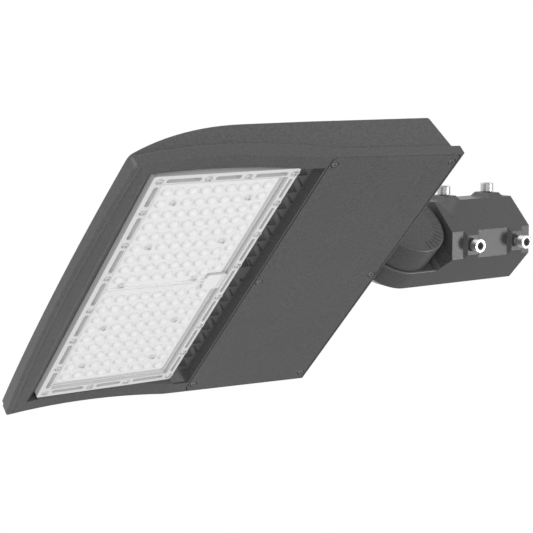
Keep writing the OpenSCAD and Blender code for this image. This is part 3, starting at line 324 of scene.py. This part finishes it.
def lens_plastic():
    """Moulded panel, milky over its field of domes and a little greyer in its frame.

    It is nearly opaque. Bright lines on the frame's edges stand for the light that
    clear plastic gathers there.
    """
    t = Material("clear_lens")
    field = t.product(t.near(t.xyz["X"], FIELD_X, FIELD_HALF_X),
                      t.near(t.xyz["Y"], 0.0, FIELD_HALF_Y))
    in_frame = t.math("SUBTRACT", 1.0, field)
    wavy = t.noise(160)
    fine = t.noise(2200)

    # Painted shade: the frame's walls, which face sideways, are darker than its flats
    wall_shade = t.span(t.facing("True Normal", "Z"), 0.4, 0.8, 1.0, 0.0)
    frame_tint = t.mix(wall_shade, grey(FRAME_TINT), grey(WALL_SHADE_TINT))
    lines = t.product(t.edges(0.0006, 0.03, 0.2), LINE_SHARE)
    frame_tint = t.mix(lines, frame_tint, grey(LINE_TINT))
    t.set("Base Color", t.mix(field, frame_tint, grey(FIELD_TINT)))
    t.set("Roughness", t.spread(fine, 0.14, 0.24))
    t.set("IOR", 1.5)
    t.set("Specular IOR Level", 0.5)
    t.set("Subsurface Weight", t.product(field, 0.4))
    t.set("Subsurface Scale", 0.003)
    t.set("Subsurface Radius", (1.0, 1.0, 1.0))
    t.set("Coat Weight", 0.4)
    t.set("Coat Roughness", 0.08)
    slant = t.node("LayerWeight", {"Blend": 0.35}).outputs["Facing"]
    t.set("Alpha", t.math("ADD", t.product(field, t.span(slant, 0.1, 0.9, FIELD_ALPHA, 1.0)),
                          t.product(in_frame, t.span(slant, 0.1, 0.9, FRAME_ALPHA, 1.0))))

    # Leaning normals soften the shading of the domes, less so that of the rib
    rib = t.near(t.xyz["Y"], 0.0, RIB_HALF_Y)
    lean = t.math("MULTIPLY_ADD", rib, RIB_LEAN - FIELD_LEAN, FIELD_LEAN)
    shape = t.bump(wavy, 0.05, 0.0005, t.bevel(0.0005))
    down = t.turned((0.0, 0.0, -1.0), "OBJECT", "WORLD")
    soft = t.node("Mix", {0: t.product(field, lean), 4: shape, 5: down}, data_type="VECTOR")
    unit = t.node("VectorMath", {0: soft.outputs[1]}, operation="NORMALIZE")
    t.set("Normal", unit.outputs[0])
    t.set("Coat Normal", t.bump(wavy, 0.04, 0.0004))
    return t.mat


def board():
    """White solder mask with faint pads and traces."""
    t = Material("board_white")
    pads = t.node("TexBrick", {
        "Vector": t.co, "Scale": 80.0, "Mortar Size": 0.04, "Brick Width": 1.0,
        "Row Height": 1.165, "Color1": (0.86, 0.86, 0.84), "Color2": (0.83, 0.84, 0.82),
        "Mortar": (0.74, 0.75, 0.72)}).outputs
    grain = t.noise(700)
    stain = t.span(grain, 0.4, 0.6, 0.0, 0.15)
    t.set("Base Color", t.mix(stain, pads["Color"], (0.7, 0.7, 0.68)))
    t.set("Roughness", t.spread(grain, 0.3, 0.45))
    t.set("Normal", t.bump(pads["Fac"], 0.1, 0.0002))
    return t.mat


# Painted light and shade in the air slot, painted highlights on the casting's front corners and the
# knuckle's fillets
CAST = powder_coat("cast_grey", grey(0.048), grey(0.106), tone=slot_painted_light, painted_highlight=corner_painted_highlight)
COVER = powder_coat("cover_grey", grey(0.046), grey(0.108), radius=0.0006, grain=1.2)
FITTER = powder_coat("fitter_grey", grey(0.038), grey(0.082), radius=0.0010, rough=0.39,
                     level=0.42, rub_and_highlight=0.5, painted_highlight=hub_painted_highlight)
STEEL = metal("stainless", grey(0.62), 0.30)
ZINC = metal("zinc", grey(0.58), 0.38, 600.0)
RUBBER = rubber("black_rubber", (0.022, 0.022, 0.023))
LOOKS = {name: mat for names, mat in (
    ("housing", CAST),
    ("driver_cover", COVER),
    ("knuckle_arm slip_fitter", FITTER),
    ("pivot_bolt pivot_washer", STEEL),
    ("arm_bolts arm_washers driver_screws surge_screws terminal_screws", ZINC),
    ("board_screws lens_screws", metal("bright_screw", grey(0.86), 0.5)),
    ("cover_screws", metal("dark_screw", grey(0.26), 0.42)),
    ("ground_screw", metal("brass_plate", (0.72, 0.55, 0.24), 0.35)),
    ("led_driver", metal("driver_case", (0.55, 0.56, 0.58), 0.45, 300.0)),
    ("led_lead driver_leads duct_grommet wire_grommet cover_gasket arm_gasket", RUBBER),
    ("lens_gasket", rubber("silicone_seal", grey(0.78), 0.5)),
    ("lens_panel", lens_plastic()),
    ("led_board_near led_board_far", board()),
    ("led_chips", plastic("led_phosphor", (0.86, 0.74, 0.30), 0.35)),
    ("surge_protector", plastic("surge_blue", (0.10, 0.17, 0.38), 0.45)),
    ("terminal_block", plastic("terminal_white", (0.82, 0.82, 0.79), 0.5)),
) for name in names.split()}
CAD_SMOOTH_ANGLE, STRIP_SMOOTH_ANGLE = math.radians(24), math.radians(35)

for name, obj in nodes.items():
    if name.startswith("clamp_bolt"):
        low_corner, high_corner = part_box(name)
        mat = socket_bolt(name + "_zinc", (low_corner[0] + high_corner[0]) / 2,
                          1.0 if "lower" in name else -1.0)
    else:
        mat = LOOKS.get(name, STEEL)
    obj.data.materials.clear()
    obj.data.materials.append(mat)
    obj.data.shade_smooth()
    obj.data.set_sharp_from_angle(angle=CAD_SMOOTH_ANGLE)

# ---- thin strips of trim: the casting's soft slopes and hollow ----
NOSE_X, NOSE_R = -0.5241, 1.9181  # nose bar's front edge: foremost x, radius of its bow
NOSE_HALF_Y = 0.1709  # half the hollow's length
BAY_X, BAY_R = -0.5029, 3.5440  # nose bar's inner edge: foremost x, radius of its bow
BAY_HALF_Y, PROBE_HALF_Y = 0.1597, 0.1585  # lamp bay's half width, and a bit within it
LENS_X, SLOPE_Z = -0.4899, -0.0172  # lens panel's front edge, and the slopes' far end
SIDE_X, SIDE_LENGTH, SIDE_WIDTH = -0.4870, 0.1455, 0.0039  # slopes along the two sides
HOLLOW_FROM, HOLLOW_WIDTH, HOLLOW_DEPTH = 0.0039, 0.0062, 0.00055  # behind the front edge
STRIP_THICK = 0.0008
EDGE_GAP, LENS_GAP = 0.00005, 0.0004  # clearance to the casting's edge and the lens panel
SET_BACK, PROUD = 0.00008, 0.00003  # slopes start above the rim, the hollow stands below
RIM_PROBE, HOLLOW_PROBES = 0.0006, (0.0036, 0.0104)  # where the casting's height is taken
BELOW_ALL = -0.2  # z from which the casting is probed upwards
BAY_SHARE = 0.9994  # the slope ends 0.1 mm short of the bay's sides
SLOPE_EASE = 0.25  # share of smooth start and end in the slope
SLOPE_STEPS = (0.0, 0.03, 0.07, 0.14, 0.25, 0.4, 0.55, 0.7, 0.85, 0.95, 1.0)
SIDE_STEPS = (0.0, 0.1, 0.3, 0.5, 0.7, 0.9, 1.0)
HALF_ROWS, SIDE_ROWS, HOLLOW_STEPS = 40, 60, 12

housing = nodes["housing"].data
casting = BVHTree.FromPolygons([v.co.copy() for v in housing.vertices],
                               [tuple(p.vertices) for p in housing.polygons])


def underside(x, y):
    """Height of the casting's lowest surface at (x, y)."""
    return casting.ray_cast(Vector((x, y, BELOW_ALL)), Vector((0, 0, 1)))[0].z


def bowed_x(foremost, radius, y):
    """x of a bowed edge that stands furthest forward in the middle."""
    return foremost + radius - math.sqrt(radius * radius - y * y)


def strip(name, rows):
    """Closed strip of the casting whose lower face runs through equal rows of points."""
    n, m = len(rows[0]), len(rows)
    low = [p for row in rows for p in row]
    high = [(x, y, z + STRIP_THICK) for x, y, z in low]
    top = len(low)
    faces = []
    for i in range(m - 1):
        for j in range(n - 1):
            quad = (i * n + j, i * n + j + 1, (i + 1) * n + j + 1, (i + 1) * n + j)
            faces += [quad, tuple(k + top for k in reversed(quad))]
    rim = list(range(n)) + [i * n + n - 1 for i in range(1, m)]
    rim += [(m - 1) * n + j for j in range(n - 2, -1, -1)]
    rim += [i * n for i in range(m - 2, 0, -1)]
    for a, b in zip(rim, rim[1:] + rim[:1]):
        faces.append((b, a, a + top, b + top))
    mesh = bpy.data.meshes.new(name)
    mesh.from_pydata(low + high, [], faces)
    bm = bmesh.new()
    bm.from_mesh(mesh)
    bmesh.ops.recalc_face_normals(bm, faces=bm.faces)
    bm.to_mesh(mesh)
    bm.free()
    mesh.shade_smooth()
    mesh.set_sharp_from_angle(angle=STRIP_SMOOTH_ANGLE)
    mesh.materials.append(CAST)
    piece = bpy.data.objects.new(name, mesh)
    scene.collection.objects.link(piece)
    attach(piece, "head")


# Slope from the nose bar's inner edge to the lens panel
rows = []
for i in range(2 * HALF_ROWS + 1):
    y = BAY_HALF_Y * (i / HALF_ROWS - 1) * BAY_SHARE
    x0 = bowed_x(BAY_X, BAY_R, y)
    z0 = underside(x0 - RIM_PROBE, max(-PROBE_HALF_Y, min(PROBE_HALF_Y, y)))
    row = []
    for s in SLOPE_STEPS:
        x = x0 + EDGE_GAP + s * (LENS_X - LENS_GAP - x0)
        ease = s * s * (3 - 2 * s) * SLOPE_EASE + s * (1 - SLOPE_EASE)
        row.append((x, y, z0 + SET_BACK + ease * (SLOPE_Z - z0)))
    rows.append(row)
strip("bay_slope", rows)

# Narrow slopes from the rim's inner edge to the lens panel's two sides
for name, side in (("side_slope_near", -1), ("side_slope_far", 1)):
    rows = []
    for i in range(SIDE_ROWS + 1):
        x = SIDE_X + i * (SIDE_LENGTH / SIDE_ROWS)
        z0 = underside(x, side * (BAY_HALF_Y + RIM_PROBE))
        drop = max(z0, SLOPE_Z) - z0
        rows.append([(x, side * (BAY_HALF_Y - EDGE_GAP - s * SIDE_WIDTH), z0 + SET_BACK + s * drop)
                     for s in SIDE_STEPS])
    strip(name, rows)

# Shallow hollow behind the nose bar's front edge
rows = []
for i in range(2 * HALF_ROWS + 1):
    y = NOSE_HALF_Y * (i / HALF_ROWS - 1)
    x0 = bowed_x(NOSE_X, NOSE_R, y)
    z0, z1 = (underside(x0 + step, y) for step in HOLLOW_PROBES)
    row = []
    for j in range(HOLLOW_STEPS + 1):
        s = j / HOLLOW_STEPS
        dip = HOLLOW_DEPTH * math.sin(math.pi * s) ** 2
        row.append((x0 + HOLLOW_FROM + HOLLOW_WIDTH * s, y, z0 + (z1 - z0) * s - PROUD + dip))
    rows.append(row)
strip("nose_hollow", rows)

# ---- floor, world and lamps ----
FLOOR_SIZE, FLOOR_Z = 24, -2.4
WORLD_LEVEL = 0.58
AIM = (-0.28, 0.0, -0.01)
LAMPS = (  # name, place, aim, watts, side of the square
    ("key_below", (-1.8, 0.3, -1.5), AIM, 12.5, 1.6),
    ("fill_front", (-1.4, -1.2, -0.7), AIM, 3.4, 1.2),
    ("front_high", (-1.82, -1.24, 0.95), (-0.45, -0.1, 0.0), 5.0, 0.8),
    ("top_soft", (-0.6, -0.6, 2.2), AIM, 26.0, 2.2),
    ("soft_box", (0.93, -0.90, -1.24), (-0.05, -0.03, -0.02), 13.0, 0.34),
)

bpy.ops.mesh.primitive_plane_add(size=FLOOR_SIZE, location=(0, 0, FLOOR_Z))
floor = bpy.context.object
floor.name = "floor"
pale = Material("floor_pale")
pale.set("Base Color", pale.mix(pale.noise(3), grey(0.80), grey(0.84)))
pale.set("Roughness", 0.8)
floor.data.materials.append(pale.mat)

# White where the camera, glossy or transmission rays see the world, dimmer as a light
world = bpy.data.worlds.new("studio")
scene.world = world
world.use_nodes = True
w = Nodes(world.node_tree)
rays = w.node("LightPath").outputs
seen = w.math("MAXIMUM", rays["Is Camera Ray"], rays["Is Glossy Ray"])
seen = w.math("MAXIMUM", seen, rays["Is Transmission Ray"])
lit = w.node("Background", {"Color": grey(1.0), "Strength": WORLD_LEVEL}).outputs[0]
white = w.node("Background", {"Color": grey(1.0), "Strength": 1.0}).outputs[0]
studio = w.node("MixShader", {0: seen, 1: lit, 2: white}).outputs[0]
w.node("OutputWorld", {"Surface": studio})

for name, place, aim, watts, side in LAMPS:
    data = bpy.data.lights.new(name, "AREA")
    data.shape = "SQUARE"
    data.size = side
    data.energy = watts
    lamp = bpy.data.objects.new(name, data)
    scene.collection.objects.link(lamp)
    lamp.location = place
    lamp.rotation_euler = (Vector(aim) - Vector(place)).to_track_quat("-Z", "Y").to_euler()
